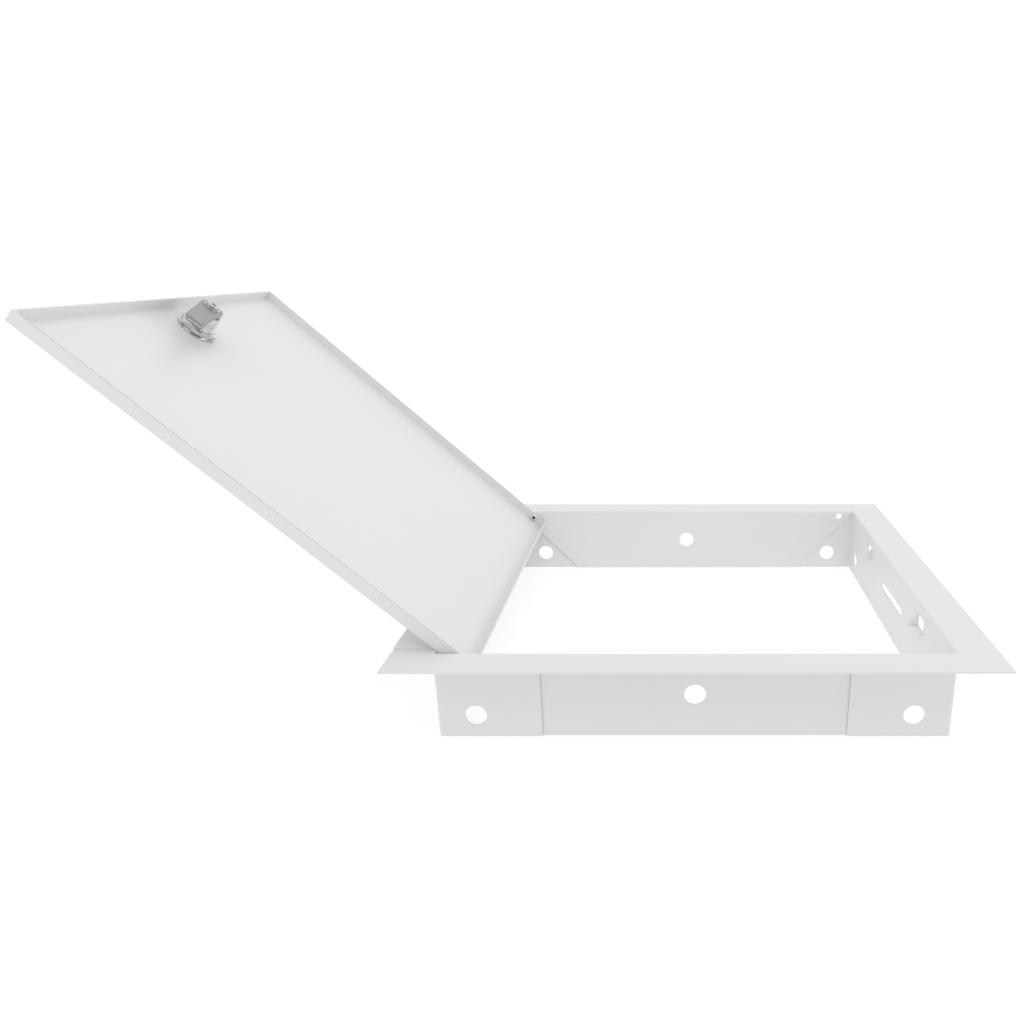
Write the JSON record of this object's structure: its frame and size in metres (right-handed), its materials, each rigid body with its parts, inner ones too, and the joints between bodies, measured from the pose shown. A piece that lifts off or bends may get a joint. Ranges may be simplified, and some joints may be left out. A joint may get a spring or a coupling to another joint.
{
  "type": "flush access hatch",
  "caption": "Square sheet-steel flush hatch: lapped four-rail flanged frame, pan door on two rivet pivots, and a cylinder cam lock.",
  "frame": {"origin": "middle of the frame's opening, in the plane of the flange's underside, which lies on the wall, deck or ceiling that the hatch is let into", "axes": "+Z out of the opening towards the user, X across the hinge with the hinge at -X and the latch at +X, +Y along the hinge to the rear"},
  "size_m": [0.5342, 0.3556, 0.2468],
  "materials": {
    "coated_steel": "white powder coat, satin",
    "rivet_aluminium": "bright",
    "mandrel_steel": "broken steel, dull",
    "nylon": "natural nylon",
    "zinc_die_cast": "die-cast, nickel plated",
    "bright_cap": "polished stainless",
    "wafer_brass": "stamped brass",
    "spring_steel": "spring wire",
    "zinc_plate": "bright zinc plate"
  },
  "bodies": {
    "frame": {"rail_front": "coated_steel", "rail_rear": "coated_steel", "rail_hinge_side": "coated_steel", "rail_latch_side": "coated_steel", "hinge_rivet_front": "rivet_aluminium", "hinge_rivet_rear": "rivet_aluminium", "rivet_mandrel_front": "mandrel_steel", "rivet_mandrel_rear": "mandrel_steel", "hinge_spacer_front": "nylon", "hinge_spacer_rear": "nylon"},
    "door": {"door_panel": "coated_steel", "lock_housing": "zinc_die_cast", "lock_face_cap": "bright_cap", "lock_washer": "zinc_plate", "lock_nut": "zinc_plate"},
    "lock_core": {"lock_plug": "zinc_die_cast", "lock_wafers": "wafer_brass", "wafer_springs": "spring_steel", "plug_clip": "spring_steel", "cam_stop_washer": "zinc_plate", "lock_cam": "zinc_plate", "cam_lock_washer": "zinc_plate", "cam_screw": "zinc_plate"}
  },
  "joints": [
    {"name": "door_hinge", "type": "hinge", "parent": "frame", "child": "door", "pos_m": [-0.1398, 0, -0.00365], "axis": [0, 1, 0], "range_deg": [0, 138.39]},
    {"name": "lock_turn", "type": "hinge", "parent": "door", "child": "lock_core", "pos_m": [-0.339, 0, 0.17267], "axis": [-0.673, 0, -0.7396], "range_deg": [0, 102]}
  ]
}
